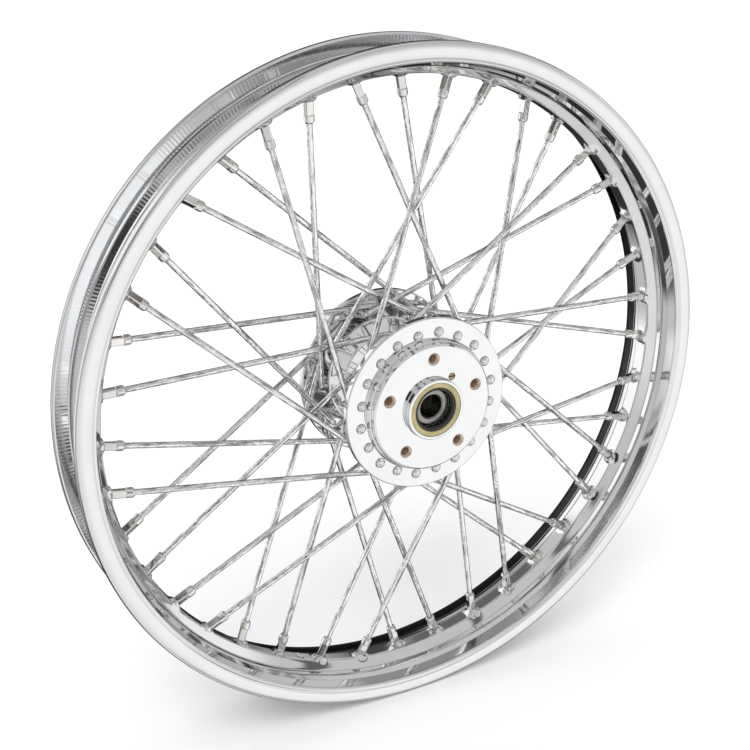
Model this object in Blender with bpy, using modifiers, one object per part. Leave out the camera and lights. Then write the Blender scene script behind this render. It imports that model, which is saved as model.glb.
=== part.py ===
"""A laced 21 inch motorcycle front wheel, as an assembly of separate solids.

The wheel stands upright. Its axle lies along Y, Z is up, and the origin is on the axle in the
middle plane of the rim. The brake disc bolts to the -Y side. Angles are measured about the axle,
from +X towards +Z. Lengths are in millimetres, times MM, and the scene is in metres.
"""

import math

import bmesh
import bpy
from mathutils import Matrix, Vector

MM = 0.001
GAP = 0.3  # kept between solids that would touch
STEP = 0.05  # length of a square shoulder on a spoke
NAME = "spoked_wheel"

# Rim: a rolled steel rim, size 2.15 x 21.
BEAD_SEAT_RADIUS = 267.7
FLANGE_HEIGHT = 14.0
RIM_LIP_RADIUS = BEAD_SEAT_RADIUS + FLANGE_HEIGHT
RIM_HALF_WIDTH = 34.65
FLANGE_WALL_Y = 27.3
RIM_SHEET = 2.0
FLOOR_RADIUS = 254.5
FLOOR_HALF_WIDTH = 6.2
TYRE_FLOOR_HALF_WIDTH = 5.4  # on the tyre side of the floor
RIM_STEPS = 60
VALVE_ANGLE = 247.5
VALVE_HOLE_RADIUS = 4.25

# Hub: distances along the axle are from the middle plane of the rim.
FLANGE_RADIUS = 72.5
DISC_FLANGE_OUT, DISC_FLANGE_IN = -46.2, -39.7
PLAIN_FLANGE_OUT, PLAIN_FLANGE_IN = 41.0, 34.5
FLANGE_EDGE = 0.9  # bevel on every rim of the hub
FLANGE_ROOT_RADIUS = 47.0
WAIST_RADIUS = 37.0
WAIST_REACH, BARREL_REACH = 9.0, 18.0  # from a flange's inner face to the waist and to the barrel
DISC_FACE_Y = -55.4
DISC_BOSS_END, PLAIN_BOSS_END = -60.5, 52.0
BOSS_RADIUS = 25.4
BARREL_RADIUS = 31.0
# (radius, distance below the disc face)
DRUM = [(55.2, 9.2), (54.2, 5.0), (53.5, 4.8), (52.8, 1.6), (51.2, 0.0)]
PLAIN_STEP = 5.0  # how far the boss stands out of the plain face
PLAIN_FACE_RADIUS, PLAIN_EDGE_RADIUS, PLAIN_FOOT_RADIUS = 44.0, 47.0, 49.0
PLAIN_EDGE_DROP = 2.5
HUB_STEPS = 40
BOLT_COUNT = 5
BOLT_CIRCLE_RADIUS = 41.275
BOLT_HOLE_RADIUS = 4.0
BOLT_HOLE_DEPTH = 13.0
BOLT_CHAMFER_RADIUS = 5.3
PLUG_CIRCLE_RADIUS, PLUG_ANGLE = 29.2, 55.0
PLUG_RADIUS, PLUG_DEPTH = 2.9, 6.0
SLOT_WIDTH, SLOT_DEPTH = 1.0, 1.5
DRILLED_STEPS = 12  # sides of a bolt hole, the plug and the valve hole
HOLE_STEPS = 8  # sides of a spoke or nipple hole
HOLE_CUT = 14.0  # length of the cutter that makes a through hole

# Spokes: each side has ten pairs, and every spoke crosses four others.
SPOKE_COUNT = 40
SPOKE_PITCH = 360 / SPOKE_COUNT
LACING_ANGLE = 72.0
SPOKE_RADIUS = 2.35
SPOKE_HOLE_RADIUS = 2.95
HEAD_CIRCLE_RADIUS = 60.0
HEAD_CIRCLE_STEP = 0.45  # short elbows sit this far out, long elbows this far in
ELBOW_RADIUS = 3.4
SHORT_ELBOW_Y = 3.3  # leg axis to the flange's inner face
LONG_ELBOW_Y = 10.3
HEAD_RADIUS, HEAD_HEIGHT = 3.95, 2.4
NIPPLE_RADIUS, NIPPLE_LENGTH = 3.9, 19.0
NIPPLE_TAPER = 1.6
NIPPLE_HOLE_RADIUS = 4.65
NIPPLE_HEAD_RADIUS = 4.7
NIPPLE_HEAD_START, NIPPLE_HEAD_END = 4.2, 6.8  # past the floor of the rim, on the tyre side
NIPPLE_ROW_Y = 1.0  # from the middle plane to the middle of each side's nipples
NIPPLE_STAGGER = 1.9

# Bearings: 3/4 inch tapered roller bearings with a 45.24 mm cup, one at each end of the hub.
CONE_BORE_RADIUS = 9.525
CONE_WIDTH = 16.64
CUP_RADIUS = 22.62
CUP_START, CUP_END = 3.43, 15.49  # from the back face of the cone
CUP_MOUTH_RADIUS, CUP_THROAT_RADIUS = 19.3, 17.0
CONE_RIB_RADIUS, CONE_TRACK_RADIUS, CONE_TAIL_RADIUS, CONE_NOSE_RADIUS = 15.0, 13.9, 12.2, 12.9
CONE_RIB_WIDTH, CONE_TRACK_START, CONE_TRACK_END, CONE_NOSE_START = 2.0, 2.3, 14.2, 14.4
CONE_CHAMFER = 1.2
BEARING_DEPTH = 7.2  # from the end of the boss to the back face of the cone
ROLLER_COUNT = 15
ROLLER_ENDS = [(3.2, 16.55), (13.6, 14.85)]  # (depth from the cone's back face, radius of the centres)
ROLLER_SWELL = (2.2, 1.5, 0.8, 1.5)  # half thickness at a roller, then on the way to the next one
RING_STEPS = 24

# Oil seals and the sleeve between the bearings.
SEAL_DEPTH = 0.2
SEAL_WIDTH = 5.7
SEAL_LIP_RADIUS = 15.9
SEAL_RUBBER_RADIUS = 18.4
SEAL_SHEET = 1.2
LIP_SETBACK, LIP_WIDTH, LIP_EDGE_START, LIP_EDGE_END = 0.2, 4.6, 1.4, 3.2
LIP_FRONT_STEP, LIP_BACK_STEP = 0.7, 1.2
SLEEVE_RADIUS = 12.7
SHIM_WIDTH = 1.0
SLEEVE_CLEARANCE = 0.2


# --------------------------------------------------------------------------- scene and helpers


def clear_scene():
    for obj in list(bpy.data.objects):
        bpy.data.objects.remove(obj, do_unlink=True)


def new_collection(name, hidden=False):
    collection = bpy.data.collections.new(name)
    bpy.context.scene.collection.children.link(collection)
    collection.hide_render = hidden
    return collection


def material(name, colour, metallic, roughness):
    made = bpy.data.materials.new(name)
    made.use_nodes = True
    shader = made.node_tree.nodes["Principled BSDF"]
    shader.inputs["Base Color"].default_value = (*colour, 1)
    shader.inputs["Metallic"].default_value = metallic
    shader.inputs["Roughness"].default_value = roughness
    made.diffuse_color = (*colour, 1)
    return made


def polar(radius, angle, y):
    """The point, in metres, at this radius and angle (degrees) about the axle."""
    turn = math.radians(angle)
    return Vector((radius * math.cos(turn), y, radius * math.sin(turn))) * MM


def turned(name, profile, steps, collection, finish):
    """A ring turned about the axle from a closed profile of (radius, y) points.

    The profile runs towards -Y down its outer side. The object's own Z is the axle.
    """
    mesh = bpy.data.meshes.new(name)
    shape = bmesh.new()
    corners = [shape.verts.new((r * MM, 0, y * MM)) for r, y in profile]
    for start, end in zip(corners, corners[1:] + corners[:1]):
        shape.edges.new((start, end))
    shape.to_mesh(mesh)
    shape.free()
    mesh.materials.append(finish)
    obj = bpy.data.objects.new(name, mesh)
    obj.rotation_euler = (-math.pi / 2, 0, 0)
    collection.objects.link(obj)
    screw = obj.modifiers.new("turn", "SCREW")
    screw.axis = "Z"
    screw.steps = screw.render_steps = steps
    screw.use_merge_vertices = True
    screw.merge_threshold = 0.00001
    screw.use_smooth_shade = True
    return obj


def rod(shape, radius, length, sides):
    """A cylinder in a bmesh, about the origin, along Z."""
    size = {"radius1": radius * MM, "radius2": radius * MM, "depth": length * MM}
    bmesh.ops.create_cone(shape, cap_ends=True, segments=sides, **size)


def cutter(name, radius, length, sides, collection, centre, direction):
    """A hidden cylinder about a point, along a direction."""
    mesh = bpy.data.meshes.new(name)
    shape = bmesh.new()
    rod(shape, radius, length, sides)
    shape.to_mesh(mesh)
    shape.free()
    obj = bpy.data.objects.new(name, mesh)
    turn = direction.to_track_quat("Z", "Y").to_matrix().to_4x4()
    obj.matrix_world = Matrix.Translation(centre) @ turn
    hide_cutter(obj, collection)
    return obj


def hide_cutter(obj, collection):
    obj.hide_render = True
    obj.display_type = "WIRE"
    collection.objects.link(obj)


def cut_with(obj, cutters):
    boolean = obj.modifiers.new("holes", "BOOLEAN")
    boolean.operation = "DIFFERENCE"
    boolean.operand_type = "COLLECTION"
    boolean.collection = cutters


# --------------------------------------------------------------------------- spokes


def elbow_point(spoke):
    """Where the axis of the shank and the axis of the leg meet."""
    radius = HEAD_CIRCLE_RADIUS + HEAD_CIRCLE_STEP * (1 if spoke["short"] else -1)
    reach = SHORT_ELBOW_Y if spoke["short"] else LONG_ELBOW_Y
    inner = DISC_FLANGE_IN if spoke["side"] < 0 else PLAIN_FLANGE_IN
    return polar(radius, spoke["hub_angle"], inner - spoke["side"] * reach)


def nipple_point(spoke):
    """Where the spoke's axis meets the floor of the rim."""
    stagger = NIPPLE_STAGGER if spoke["short"] else -NIPPLE_STAGGER
    return polar(FLOOR_RADIUS, spoke["rim_angle"], spoke["side"] * (NIPPLE_ROW_Y + stagger))


def spoke_list():
    """Every spoke: its side (-1 disc, 1 plain), lean, elbow and angles."""
    spokes = []
    order = [
        ("disc_leading", -1, 1),
        ("plain_trailing", 1, -1),
        ("disc_trailing", -1, -1),
        ("plain_leading", 1, 1),
    ]
    for first, (kind, side, lean) in enumerate(order, 1):
        for i in range(SPOKE_COUNT // len(order)):
            rim_angle = (first + len(order) * i) * SPOKE_PITCH
            spokes.append(
                {
                    "name": f"spoke_{kind}_{i + 1:02d}",
                    "side": side,
                    "short": side * lean < 0,
                    "rim_angle": rim_angle,
                    "hub_angle": rim_angle + lean * LACING_ANGLE,
                }
            )
    return spokes


def make_spoke(spoke, collection, finish):
    """One spoke with its nipple screwed on, drawn as a tube whose radius changes along its length."""
    elbow, seat = elbow_point(spoke), nipple_point(spoke)
    leg = (seat - elbow).normalized()
    inward = Vector((0, -spoke["side"], 0))
    face = (DISC_FLANGE_OUT if spoke["side"] < 0 else PLAIN_FLANGE_OUT) * MM
    head = Vector((elbow.x, face, elbow.z)) - inward * GAP * MM
    bend_start = elbow - inward * ELBOW_RADIUS * MM
    bend_end = elbow + leg * ELBOW_RADIUS * MM
    bend_middle = elbow + (bend_start + bend_end - 2 * elbow) * (1 - math.sqrt(0.5))
    stations = [
        (head - inward * HEAD_HEIGHT * MM, HEAD_RADIUS * 0.45),
        (head - inward * HEAD_HEIGHT * 0.7 * MM, HEAD_RADIUS * 0.85),
        (head, HEAD_RADIUS),
        (head + inward * STEP * MM, SPOKE_RADIUS),
        (bend_start, SPOKE_RADIUS),
        (bend_middle, SPOKE_RADIUS),
        (bend_end, SPOKE_RADIUS),
        (seat - leg * NIPPLE_LENGTH * MM, SPOKE_RADIUS),
        (seat - leg * (NIPPLE_LENGTH - NIPPLE_TAPER) * MM, NIPPLE_RADIUS),
        (seat + leg * NIPPLE_HEAD_START * MM, NIPPLE_RADIUS),
        (seat + leg * (NIPPLE_HEAD_START + STEP) * MM, NIPPLE_HEAD_RADIUS),
        (seat + leg * NIPPLE_HEAD_END * MM, NIPPLE_HEAD_RADIUS * 0.8),
    ]
    curve = bpy.data.curves.new(spoke["name"], "CURVE")
    curve.dimensions = "3D"
    curve.bevel_depth = MM
    curve.bevel_resolution = 1
    curve.use_fill_caps = True
    curve.materials.append(finish)
    line = curve.splines.new("POLY")
    line.points.add(len(stations) - 1)
    for point, (place, radius) in zip(line.points, stations):
        point.co = (*place, 1)
        point.radius = radius
    obj = bpy.data.objects.new(spoke["name"], curve)
    collection.objects.link(obj)


# --------------------------------------------------------------------------- rim


def rim_profile():
    half = [
        (FLOOR_RADIUS + RIM_SHEET, TYRE_FLOOR_HALF_WIDTH),
        (BEAD_SEAT_RADIUS - 1.4, 14.2),
        (BEAD_SEAT_RADIUS, 24.6),
        (BEAD_SEAT_RADIUS + 1.8, FLANGE_WALL_Y),
        (RIM_LIP_RADIUS - 3.0, FLANGE_WALL_Y),
        (RIM_LIP_RADIUS, 30.6),
        (RIM_LIP_RADIUS - 3.4, RIM_HALF_WIDTH),
        (BEAD_SEAT_RADIUS + 1.6, RIM_HALF_WIDTH),
        (BEAD_SEAT_RADIUS - 1.5, 33.4),
        (BEAD_SEAT_RADIUS - 1.3, 20.0),
        (BEAD_SEAT_RADIUS - 4.1, 12.8),
        (FLOOR_RADIUS, FLOOR_HALF_WIDTH),
    ]
    far_side = list(reversed(half))
    near_side = [(r, -y) for r, y in half]
    return far_side + near_side


def make_rim(spokes, collection, cutters, finish):
    rim = turned("rim", rim_profile(), RIM_STEPS, collection, finish)
    for i, spoke in enumerate(spokes):
        seat = nipple_point(spoke)
        direction = (seat - elbow_point(spoke)).normalized()
        cutter(f"nipple_hole_{i:02d}", NIPPLE_HOLE_RADIUS, HOLE_CUT, HOLE_STEPS, cutters, seat, direction)
    valve = polar(FLOOR_RADIUS, VALVE_ANGLE, 0)
    cutter("valve_hole", VALVE_HOLE_RADIUS, HOLE_CUT, DRILLED_STEPS, cutters, valve, valve.normalized())
    cut_with(rim, cutters)


# --------------------------------------------------------------------------- hub


def bearing_bore(end, side):
    """Hub bore points from the open end of a boss in to the shoulder behind the cup."""
    shoulder = end - side * (BEARING_DEPTH + CUP_END + GAP)
    wall = CUP_RADIUS + GAP
    return [(wall, end), (wall, shoulder), (CUP_MOUTH_RADIUS, shoulder)]


def flange(outer, inner, side):
    """Points round one spoke flange, from its outer face over its rim to its inner face."""
    edge = side * FLANGE_EDGE
    return [
        (FLANGE_RADIUS - FLANGE_EDGE, outer),
        (FLANGE_RADIUS, outer - edge),
        (FLANGE_RADIUS, inner + edge),
        (FLANGE_RADIUS - FLANGE_EDGE, inner),
    ]


def waist(inner, side):
    """Points from the root of a flange in to the barrel."""
    return [
        (FLANGE_ROOT_RADIUS, inner),
        (WAIST_RADIUS, inner - side * WAIST_REACH),
        (BARREL_RADIUS, inner - side * BARREL_REACH),
    ]


def hub_profile():
    plain_face = PLAIN_BOSS_END - PLAIN_STEP
    plain_boss = [
        (BOSS_RADIUS - FLANGE_EDGE, PLAIN_BOSS_END),
        (BOSS_RADIUS, PLAIN_BOSS_END - FLANGE_EDGE),
        (BOSS_RADIUS, plain_face),
        (PLAIN_FACE_RADIUS, plain_face),
        (PLAIN_EDGE_RADIUS, plain_face - PLAIN_EDGE_DROP),
        (PLAIN_FOOT_RADIUS, PLAIN_FLANGE_OUT),
    ]
    plain_flange = flange(PLAIN_FLANGE_OUT, PLAIN_FLANGE_IN, 1) + waist(PLAIN_FLANGE_IN, 1)
    disc_flange = waist(DISC_FLANGE_IN, -1)[::-1] + flange(DISC_FLANGE_OUT, DISC_FLANGE_IN, -1)[::-1]
    drum = [(radius, DISC_FACE_Y + height) for radius, height in DRUM]
    disc_boss = [
        (BOSS_RADIUS, DISC_FACE_Y),
        (BOSS_RADIUS, DISC_BOSS_END + FLANGE_EDGE),
        (BOSS_RADIUS - FLANGE_EDGE, DISC_BOSS_END),
    ]
    inside = bearing_bore(DISC_BOSS_END, -1) + bearing_bore(PLAIN_BOSS_END, 1)[::-1]
    return plain_boss + plain_flange + disc_flange + drum + disc_boss + inside


def make_hub(spokes, collection, cutters, finish):
    hub = turned("hub_shell", hub_profile(), HUB_STEPS, collection, finish)
    along = Vector((0, 1, 0))
    for i, spoke in enumerate(spokes):
        elbow = elbow_point(spoke)
        disc_side = spoke["side"] < 0
        face = DISC_FLANGE_OUT if disc_side else PLAIN_FLANGE_OUT
        centre = Vector((elbow.x, face * MM, elbow.z))
        cutter(f"spoke_hole_{i:02d}", SPOKE_HOLE_RADIUS, HOLE_CUT, HOLE_STEPS, cutters, centre, along)
    for i in range(BOLT_COUNT):
        mouth = polar(BOLT_CIRCLE_RADIUS, 90 + 360 * i / BOLT_COUNT, DISC_FACE_Y)
        bolt_hole(f"bolt_hole_{i}", mouth, cutters)
    plug = polar(PLUG_CIRCLE_RADIUS, PLUG_ANGLE, DISC_FACE_Y)
    bore = PLUG_RADIUS + GAP + 0.1
    cutter("plug_hole", bore, 2 * PLUG_DEPTH + 1, DRILLED_STEPS, cutters, plug, along)
    cut_with(hub, cutters)


def bolt_hole(name, mouth, cutters):
    """A blind hole with a countersunk mouth, turned about its own axis."""
    over = 1.0
    outline = [
        (0, BOLT_HOLE_DEPTH),
        (BOLT_HOLE_RADIUS, BOLT_HOLE_DEPTH),
        (BOLT_HOLE_RADIUS, BOLT_CHAMFER_RADIUS - BOLT_HOLE_RADIUS),
        (BOLT_CHAMFER_RADIUS + over, -over),
        (0, -over),
    ]
    shape = bmesh.new()
    corners = [shape.verts.new((r * MM, 0, y * MM)) for r, y in outline]
    for start, end in zip(corners, corners[1:]):
        shape.edges.new((start, end))
    mesh = bpy.data.meshes.new(name)
    shape.to_mesh(mesh)
    shape.free()
    obj = bpy.data.objects.new(name, mesh)
    obj.matrix_world = Matrix.Translation(mouth) @ Matrix.Rotation(-math.pi / 2, 4, "X")
    screw = obj.modifiers.new("turn", "SCREW")
    screw.steps = screw.render_steps = DRILLED_STEPS
    screw.use_merge_vertices = True
    screw.merge_threshold = 0.00001
    hide_cutter(obj, cutters)


def make_plug(collection, finish):
    """The slotted plug in the disc face."""
    mesh = bpy.data.meshes.new("hub_plug")
    shape = bmesh.new()
    rod(shape, PLUG_RADIUS, PLUG_DEPTH, DRILLED_STEPS)
    shape.to_mesh(mesh)
    shape.free()
    mesh.materials.append(finish)
    obj = bpy.data.objects.new("hub_plug", mesh)
    obj.rotation_euler = (-math.pi / 2, 0, 0)
    obj.location = polar(PLUG_CIRCLE_RADIUS, PLUG_ANGLE, DISC_FACE_Y + PLUG_DEPTH / 2)
    collection.objects.link(obj)
    return obj


def slot_plug(plug, cutters):
    shape = bmesh.new()
    bmesh.ops.create_cube(shape, size=1)
    mesh = bpy.data.meshes.new("plug_slot")
    shape.to_mesh(mesh)
    shape.free()
    obj = bpy.data.objects.new("plug_slot", mesh)
    size = Matrix.Diagonal((4 * PLUG_RADIUS * MM, 2 * SLOT_DEPTH * MM, SLOT_WIDTH * MM, 1))
    obj.matrix_world = Matrix.Translation(polar(PLUG_CIRCLE_RADIUS, PLUG_ANGLE, DISC_FACE_Y)) @ size
    hide_cutter(obj, cutters)
    cut_with(plug, cutters)


# --------------------------------------------------------------------------- bearings and seals


def place_ring(points, end, side):
    """Turns points (radius, depth from the boss end) into a profile at one end of the hub.

    The points run inwards, from the open end, down the outer side of the ring.
    """
    profile = [(r, end - side * depth) for r, depth in points]
    return profile if side > 0 else list(reversed(profile))


def cup_points():
    start, end = BEARING_DEPTH + CUP_START, BEARING_DEPTH + CUP_END
    return [(CUP_RADIUS, start), (CUP_RADIUS, end), (CUP_THROAT_RADIUS, end), (CUP_MOUTH_RADIUS, start)]


def cone_points():
    back = BEARING_DEPTH
    front = back + CONE_WIDTH
    bore = CONE_BORE_RADIUS
    return [
        (CONE_RIB_RADIUS, back),
        (CONE_RIB_RADIUS, back + CONE_RIB_WIDTH),
        (CONE_TRACK_RADIUS, back + CONE_TRACK_START),
        (CONE_TAIL_RADIUS, back + CONE_TRACK_END),
        (CONE_NOSE_RADIUS, back + CONE_NOSE_START),
        (CONE_NOSE_RADIUS, front),
        (bore, front),
        (bore, back + CONE_CHAMFER),
        (bore + CONE_CHAMFER, back),
    ]


def seal_case_points():
    front, back = SEAL_DEPTH, SEAL_DEPTH + SEAL_WIDTH
    wall = CUP_RADIUS - SEAL_SHEET
    return [
        (CUP_RADIUS, front),
        (CUP_RADIUS, back),
        (wall, back),
        (wall, front + SEAL_SHEET),
        (SEAL_RUBBER_RADIUS, front + SEAL_SHEET),
        (SEAL_RUBBER_RADIUS, front),
    ]


def seal_lip_points():
    outer = SEAL_RUBBER_RADIUS - GAP
    front = SEAL_DEPTH + LIP_SETBACK
    return [
        (outer, front),
        (outer, front + LIP_WIDTH),
        (SEAL_LIP_RADIUS + LIP_BACK_STEP, front + LIP_WIDTH),
        (SEAL_LIP_RADIUS, front + LIP_EDGE_END),
        (SEAL_LIP_RADIUS, front + LIP_EDGE_START),
        (SEAL_LIP_RADIUS + LIP_FRONT_STEP, front),
    ]


def make_rollers(name, end, side, collection, finish):
    """The tapered rollers held in their cage, as one conical ring with a swelling at each roller."""
    count = len(ROLLER_SWELL) * ROLLER_COUNT
    outer_wall = [(depth, centre, 1) for depth, centre in ROLLER_ENDS]
    inner_wall = [(depth, centre, -1) for depth, centre in reversed(ROLLER_ENDS)]
    shape = bmesh.new()
    rings = []
    for depth, centre, way in outer_wall + inner_wall:
        y = end - side * (BEARING_DEPTH + depth)
        ring = []
        for i in range(count):
            radius = centre + way * ROLLER_SWELL[i % len(ROLLER_SWELL)]
            ring.append(shape.verts.new(polar(radius, 360 * i / count, y)))
        rings.append(ring)
    for near, far in zip(rings, rings[1:] + rings[:1]):
        for i, vert in enumerate(near):
            after = (i + 1) % len(near)
            shape.faces.new((vert, near[after], far[after], far[i]))
    bmesh.ops.recalc_face_normals(shape, faces=shape.faces)
    mesh = bpy.data.meshes.new(name)
    shape.to_mesh(mesh)
    shape.free()
    mesh.materials.append(finish)
    collection.objects.link(bpy.data.objects.new(name, mesh))


def make_bearings(collection, steel, rubber, case):
    rings = [
        ("bearing_cup", cup_points, steel),
        ("bearing_cone", cone_points, steel),
        ("seal_case", seal_case_points, case),
        ("seal_lip", seal_lip_points, rubber),
    ]
    for label, end, side in (("disc_side", DISC_BOSS_END, -1), ("plain_side", PLAIN_BOSS_END, 1)):
        for name, points, finish in rings:
            turned(f"{name}_{label}", place_ring(points(), end, side), RING_STEPS, collection, finish)
        make_rollers(f"roller_cage_{label}", end, side, collection, steel)


def make_sleeve(collection, finish):
    """The sleeve that spaces the two cones, and the shim at its end that sets the bearing play."""
    reach = BEARING_DEPTH + CONE_WIDTH + GAP
    start, end = DISC_BOSS_END + reach, PLAIN_BOSS_END - reach
    shim_start = end - SHIM_WIDTH
    bore = CONE_BORE_RADIUS + SLEEVE_CLEARANCE
    sleeve_end = shim_start - GAP
    ring = [(SLEEVE_RADIUS, sleeve_end), (SLEEVE_RADIUS, start), (bore, start), (bore, sleeve_end)]
    turned("bearing_spacer_sleeve", ring, RING_STEPS, collection, finish)
    ring = [(SLEEVE_RADIUS, end), (SLEEVE_RADIUS, shim_start), (bore, shim_start), (bore, end)]
    turned("bearing_shim", ring, RING_STEPS, collection, finish)


# --------------------------------------------------------------------------- assembly


def main():
    clear_scene()
    parts = new_collection(NAME)
    rim_cutters = new_collection("rim_cutters", hidden=True)
    hub_cutters = new_collection("hub_cutters", hidden=True)
    plug_cutters = new_collection("plug_cutters", hidden=True)
    chrome = material("chrome", (0.80, 0.80, 0.81), 1.0, 0.06)
    hub_chrome = material("hub_chrome", (0.82, 0.82, 0.82), 1.0, 0.08)
    spoke_chrome = material("spoke_chrome", (0.74, 0.73, 0.71), 1.0, 0.15)
    bearing_steel = material("bearing_steel", (0.45, 0.44, 0.42), 1.0, 0.25)
    seal_rubber = material("seal_rubber", (0.015, 0.015, 0.016), 0.0, 0.45)
    zinc = material("seal_case_zinc", (0.55, 0.47, 0.23), 0.8, 0.35)
    brass = material("plug_brass", (0.45, 0.38, 0.26), 1.0, 0.35)
    spokes = spoke_list()
    make_rim(spokes, parts, rim_cutters, chrome)
    make_hub(spokes, parts, hub_cutters, hub_chrome)
    for spoke in spokes:
        make_spoke(spoke, parts, spoke_chrome)
    make_bearings(parts, bearing_steel, seal_rubber, zinc)
    make_sleeve(parts, bearing_steel)
    slot_plug(make_plug(parts, brass), plug_cutters)


main()
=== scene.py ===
"""The look of a laced 21 inch motorcycle front wheel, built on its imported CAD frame.

The axle lies along Y, Z is up, and the origin is on the axle in the middle plane of the rim. Shapes are
drawn in millimetres and become metres when a mesh is made. A profile is a list of (radius, y) points
about an axis along Y. Angles go from +X towards +Z, in degrees.
"""

import math

import bpy
import numpy as np
from mathutils import Matrix, Vector

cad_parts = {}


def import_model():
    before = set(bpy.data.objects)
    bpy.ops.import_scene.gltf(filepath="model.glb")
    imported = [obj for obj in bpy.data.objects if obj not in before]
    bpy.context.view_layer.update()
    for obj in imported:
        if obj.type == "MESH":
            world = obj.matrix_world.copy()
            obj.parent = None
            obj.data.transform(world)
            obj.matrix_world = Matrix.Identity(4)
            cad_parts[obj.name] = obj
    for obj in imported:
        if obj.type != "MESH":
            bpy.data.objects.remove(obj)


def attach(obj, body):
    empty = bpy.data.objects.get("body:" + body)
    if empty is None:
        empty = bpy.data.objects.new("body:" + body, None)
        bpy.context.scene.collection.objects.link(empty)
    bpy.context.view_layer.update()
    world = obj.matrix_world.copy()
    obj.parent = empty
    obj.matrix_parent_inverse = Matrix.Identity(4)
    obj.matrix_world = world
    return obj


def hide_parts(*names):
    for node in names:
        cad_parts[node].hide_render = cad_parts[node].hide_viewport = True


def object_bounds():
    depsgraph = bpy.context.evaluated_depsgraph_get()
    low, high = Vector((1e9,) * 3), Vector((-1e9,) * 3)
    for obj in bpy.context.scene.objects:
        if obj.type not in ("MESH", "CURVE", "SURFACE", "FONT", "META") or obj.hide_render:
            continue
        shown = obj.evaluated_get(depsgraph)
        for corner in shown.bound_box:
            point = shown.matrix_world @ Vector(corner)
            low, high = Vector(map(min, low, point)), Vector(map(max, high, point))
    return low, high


MM = 0.001

# Rim
RIM_STEPS = 1120  # two for each ridge of the knurled bead walls
LIP_RADIUS = 281.7
BEAD_SEAT_RADIUS = 267.7
FLOOR_RADIUS = 254.5
WALL_RADIUS = 263.0  # the dimples end inside this circle
BEAD_WALL_Y, FLANGE_Y = 26.0, 28.0  # the bead walls lie between these
RIDGE_FOOT_RADIUS, RIDGE_TOP_RADIUS = BEAD_SEAT_RADIUS + 0.25, 279.5
RIDGE_DEPTH = 0.09
GROOVE_RADIUS = 266.0  # the painted shade in the groove under the far rolled edge lies inside this circle
GROOVE_START, GROOVE_END = 24.0, 33.4
DIMPLE_HEIGHT = 1.9
DIMPLE_TOP, DIMPLE_BASE = 4.9, 7.4
DIMPLE_WINDOW = 3.0  # degrees to each side of a spoke that its dimple can reach
DIMPLE_TILT = 0.6  # how far a dimple's top leans towards its spoke: 1 is square to it
NIPPLE_HOLE_RADIUS = 4.75
VALVE_ANGLE = 247.5
VALVE_HOLE_RADIUS = 4.25

# Hub
HUB_STEPS = 240
HOLE_STEPS, WIDE_HOLE_STEPS = 32, 48
DISC_FLANGE_OUT, DISC_FLANGE_IN = -46.2, -39.7
PLAIN_FLANGE_OUT, PLAIN_FLANGE_IN = 41.0, 34.5
FLANGE_RADIUS, BARREL_RADIUS, BOSS_RADIUS = 72.5, 31.0, 25.4
DISC_FACE_Y = -55.4
DISC_BOSS_END, PLAIN_BOSS_END = -60.5, 52.0
BOLT_CIRCLE_RADIUS = 41.275
BOLT_COUNT = 5
THREAD_PITCH = 1.411
THREAD_CREST_RADIUS, THREAD_ROOT_RADIUS = 3.55, 4.0
COUNTERSINK_RADIUS = 5.25
PLUG_CIRCLE_RADIUS, PLUG_ANGLE = 29.2, 55.0

# Spokes
SPOKE_COUNT = 40
LACING_ANGLE = 72.0
SPOKE_RADIUS = 2.35
SPOKE_HOLE_RADIUS = 2.7
WIRE_SIDES = 24
STREAK_SPAN = 8.0  # millimetres of wire to one unit of its UV map
HEAD_CIRCLE_RADIUS, HEAD_CIRCLE_STEP = 60.0, 0.45
SHORT_ELBOW_Y, LONG_ELBOW_Y = 3.3, 10.3
ELBOW_REACH = 3.4  # from the elbow's corner to where the wire starts to bend
ELBOW_STEPS = 8
HEAD_RADIUS, HEAD_SINK = 3.95, 0.4
DOME_START, DOME_HEIGHT, DOME_STEPS = 0.75, 1.95, 7
HEAD_POCKET_RADIUS = HEAD_RADIUS + 0.45

# Nipples
NIPPLE_ROW_Y, NIPPLE_STAGGER = 1.0, 1.9
NIPPLE_RADIUS = 4.05
NIPPLE_SIDES = 48
HALF_FLAT = 3.15  # half the width across the wrench flats
ROUND = math.inf  # the same where there are no flats

# Bearings: the usual 3/4 inch tapered kind. A cup's start and end are depths from its cone's back face.
RING_STEPS, SLEEVE_STEPS, ROLLER_STEPS = 160, 128, 24
BEARING_DEPTH = 7.2
CONE_BORE_RADIUS, CONE_LENGTH = 9.525, 16.64
CUP_RADIUS, CUP_START, CUP_END = 22.62, 3.43, 15.49
RING_RADIUS = 22.6  # of the cup and the seal case, a little loose in the hub's bore
ROLLER_COUNT = 15
SLEEVE_RADIUS = 12.7
SHIM_THICKNESS = 1.15

# Finishes
EDGE_TINT = 0.35  # plating reflects less at a glancing angle
WIRE_EDGE_TINT = 0.1

# Camera
CAMERA_PLACE = (-0.4732, -0.8435, 0.3963)
CAMERA_DOWN, CAMERA_TURN = 21.85, -28.10
LENS = 60.35

# Light
FLOOR_REACH = 9000.0
SUN_STRENGTH, SUN_WIDTH = 0.9, 28.0
SUN_DIRECTION = (0.42, 0.45, -0.85)
FILL = 1.0
ROOM = 0.60

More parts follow.
